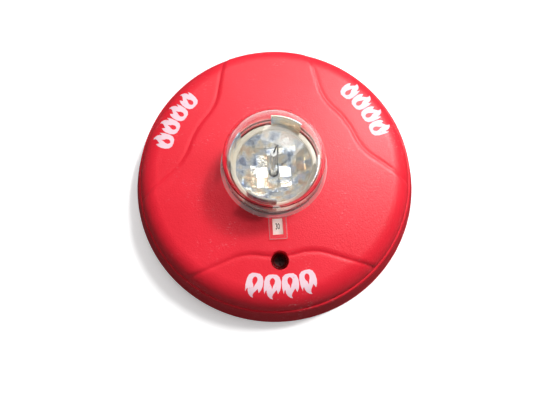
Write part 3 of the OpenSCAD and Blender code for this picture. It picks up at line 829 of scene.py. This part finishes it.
# where each curved mirror starts, and how far its top leans in
WINGS, WING_SWEEP = ((48, 0.1), (138, 0.9), (228, 2.2), (318, 0.6)), 42
FACET_LINES = (-22.2, -17.8, -13.5, -10.2, -3.6, 3.6, 10.2, 13.5, 17.8, 22.2)
BASIN = (13.5, 1.3)  # half width of the lower, inner square of mirrors, and how much lower it is
FACET_TILT, FACET_LIFT, FACET_GAP, BOWL_WALL = 0.22, 0.15, 0.03, 0.9


def facets():
    """Bowl of flat square mirrors, each tilted a little off the parabola, so that thin steps part them."""
    rise = (RIM_Z - 0.7 - BASIN[1] - BOWL_Z) / BOWL_R**2
    lines = [x + s * FACET_GAP for x in FACET_LINES[1:-1] for s in (-1, 1)]
    lines = [FACET_LINES[0]] + lines + [FACET_LINES[-1]]
    n = len(lines)
    cells = len(FACET_LINES) - 1
    tilt = rng.uniform(-FACET_TILT, FACET_TILT, (cells, cells, 2))
    lift = rng.uniform(-FACET_LIFT, FACET_LIFT, (cells, cells))
    top = []
    for j, y in enumerate(lines):
        for i, x in enumerate(lines):
            u, v = i // 2, j // 2
            cx = (FACET_LINES[u] + FACET_LINES[u + 1]) / 2
            cy = (FACET_LINES[v] + FACET_LINES[v + 1]) / 2
            slope = (2 * rise * cx + tilt[u, v, 0], 2 * rise * cy + tilt[u, v, 1])
            z = BOWL_Z + rise * (cx * cx + cy * cy) + slope[0] * (x - cx) + slope[1] * (y - cy) + lift[u, v]
            z += BASIN[1] if max(abs(cx), abs(cy)) > BASIN[0] else 0
            top.append((x, y, z))
    verts = top + [(x, y, z - BOWL_WALL) for x, y, z in top]
    faces, base = [], n * n
    for j in range(n - 1):
        for i in range(n - 1):
            a = j * n + i
            faces += [(a, a + 1, a + n + 1, a + n), (base + a, base + a + n, base + a + n + 1, base + a + 1)]
    ring = [i for i in range(n)] + [j * n + n - 1 for j in range(1, n)]
    ring += [(n - 1) * n + i for i in range(n - 2, -1, -1)] + [j * n for j in range(n - 2, 0, -1)]
    for k, a in enumerate(ring):
        b = ring[(k + 1) % len(ring)]
        faces.append((b, a, base + a, base + b))
    return verts, faces


def wing(turn, lean):
    """Curved mirror of flat strips that stands on the rim and leans in, with a bevelled top."""
    top_r, middle_r, middle_z = WING_R - lean, WING_R - lean / 2, (RIM_Z + WING_Z) / 2
    section = [(WING_R - 0.8, RIM_Z - 0.4), (WING_R, RIM_Z - 0.4), (middle_r, middle_z)]
    section += [(top_r, WING_Z - 0.2), (top_r - 0.2, WING_Z), (top_r - 0.6, WING_Z)]
    section += [(top_r - 0.8, WING_Z - 0.2), (middle_r - 1.0, middle_z)]
    steps, n = 7, len(section)
    turns = [math.radians(turn + WING_SWEEP * k / steps) for k in range(steps + 1)]
    verts = [(r * math.cos(a), r * math.sin(a), z) for a in turns for r, z in section]
    faces = [list(range(n)), list(range(steps * n, steps * n + n))[::-1]]
    for k in range(steps):
        for i in range(n):
            j = (i + 1) % n
            faces.append((k * n + i, (k + 1) * n + i, (k + 1) * n + j, k * n + j))
    return verts, faces


def drum(radius, low, high, count=128):
    """A solid upright cylinder."""
    return lathe([(0, low), (radius, low), (radius, high), (0, high)], count, False)


bowl = from_mesh(boolean(facets(), drum(BOWL_R, 0, 40), "INTERSECT"))
tube_hole, lead_hole = drum(2.9, 5, 30, 32), moved(drum(0.9, 5, 30, 16), (2.3, 4.8, 0))
bowl = from_mesh(boolean(bowl, merge(tube_hole, lead_hole)))
verts, faces = merge(bowl, *[wing(*values) for values in WINGS])
bowl = piece("reflector_bowl", verts, faces, "mirror", slot="metallised", smooth=25)
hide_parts("reflector")
rim = [(BOWL_R - 0.1, 22.8), (BOWL_R - 0.2, RIM_Z - 0.6), (BOWL_R + 0.3, RIM_Z - 0.1), (RIM_R - 0.4, RIM_Z)]
rim += [(RIM_R, RIM_Z - 0.3), (RIM_R, RIM_Z - 1.5), (RIM_R - 0.7, 22.4)]
piece("reflector_rim", *lathe(rim, 160), "rim", slot="cream_plastic")

# ---------------------------------------------------------------- flash tube

TUBE = [(1.1, 11.6), (1.8, 12.2), (1.8, 43.6), (1.3, 44.5)]
TUBE += [(0.8, 44.5), (1.2, 43.0), (1.2, 12.6), (0.8, 11.6)]
TUBE_SEAT = [(1.9, 11.9), (2.85, 11.9), (2.85, 12.5), (2.6, 12.7), (1.95, 12.6)]
tube = piece("flash_tube_glass", *lathe(TUBE, 40), "tube", slot="tube_glass")
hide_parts("flash_tube")
piece("tube_seat", *lathe(TUBE_SEAT, 40), "black", slot="black_plastic")

# ---------------------------------------------------------------- selector label

LABEL_PITCH, LABEL_Y, LABEL_Z, DIGIT_SIZE, DIGIT_SCALE = 5.6, -33.9, 21.12, 3.6, (0.68, 1.3, 1, 1)


def text_mesh(text, size, name):
    """Mesh of a number, a little bolder than the font."""
    curve = bpy.data.curves.new(name, "FONT")
    curve.body = text
    curve.size = size * MM
    curve.align_x = "CENTER"
    curve.align_y = "CENTER"
    curve.extrude = 0.02 * MM
    curve.offset = 0.09 * MM
    curve.resolution_u = 3
    obj = bpy.data.objects.new(name, curve)
    scene.collection.objects.link(obj)
    mesh = bpy.data.meshes.new_from_object(obj.evaluated_get(bpy.context.evaluated_depsgraph_get()))
    bpy.data.objects.remove(obj)
    return mesh


digits = bmesh.new()
for i, text in enumerate(("15", "30", "75", "95", "110")):
    mesh = text_mesh(text, DIGIT_SIZE, "digits")
    place = Matrix.Translation(Vector(((i - 1) * LABEL_PITCH, LABEL_Y, LABEL_Z)) * MM)
    mesh.transform(place @ Matrix.Diagonal(DIGIT_SCALE))
    digits.from_mesh(mesh)
mesh = bpy.data.meshes.new("label_numbers")
digits.to_mesh(mesh)
digits.free()
dress(mesh, "label_numbers", "ink", "selector", 30)

# ---------------------------------------------------------------- rear cover ribs

RIB_Z0, RIB_Z1, RING_IN, RING_OUT, RIB_IN, RIB_HALF = 4.9, 5.7, 60.5, 61.7, 40, 0.6
ribs = [lathe([(RING_IN, RIB_Z0), (RING_OUT, RIB_Z0), (RING_OUT, RIB_Z1), (RING_IN, RIB_Z1)], 120)]
rib = block((RIB_IN, -RIB_HALF, RIB_Z0), (RING_IN + 0.1, RIB_HALF, RIB_Z1), 0.15)
ribs += [moved(rib, turn=turn) for turn in (0, 30, 60, 90, 120, 150, 180, 330)]
piece("rear_cover_ribs", *merge(*ribs), "black", slot="black_plastic")

# ---------------------------------------------------------------- CAD nodes that keep their shape

CARRIED = {
    "mounting_plate": "plate", "screw_insert": "brass", "terminal_block": "cream",
    "terminal_contacts": "brass", "clamp_plates": "steel", "terminal_screws": "steel",
    "shorting_spring": "brass", "tube_caps": "steel", "return_lead": "dark_steel", "circuit_board": "board",
    "flash_capacitor": "sleeve", "boost_inductor": "winding", "trigger_coil": "winding",
    "control_chips": "black", "rectifier_diodes": "black", "chip_resistors": "black", "piezo_disc": "brass",
    "piezo_ceramic": "ceramic", "horn_chamber": "grey", "horn_gasket": "foam", "piezo_leads": "wire",
    "rear_cover": "black", "cover_screws": "steel", "board_screws": "steel", "contact_blades": "brass",
    "candela_guide": "cream", "tone_switch_body": "sleeve", "screw_retainer": "grey",
    "candela_slider": "cream", "candela_label": "label", "tone_rotor": "cream", "screw_washer": "steel",
    "captive_screw": "screw",
}
for name, material in CARRIED.items():
    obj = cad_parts[name]
    obj.data.materials.clear()
    obj.data.materials.append(M[material])
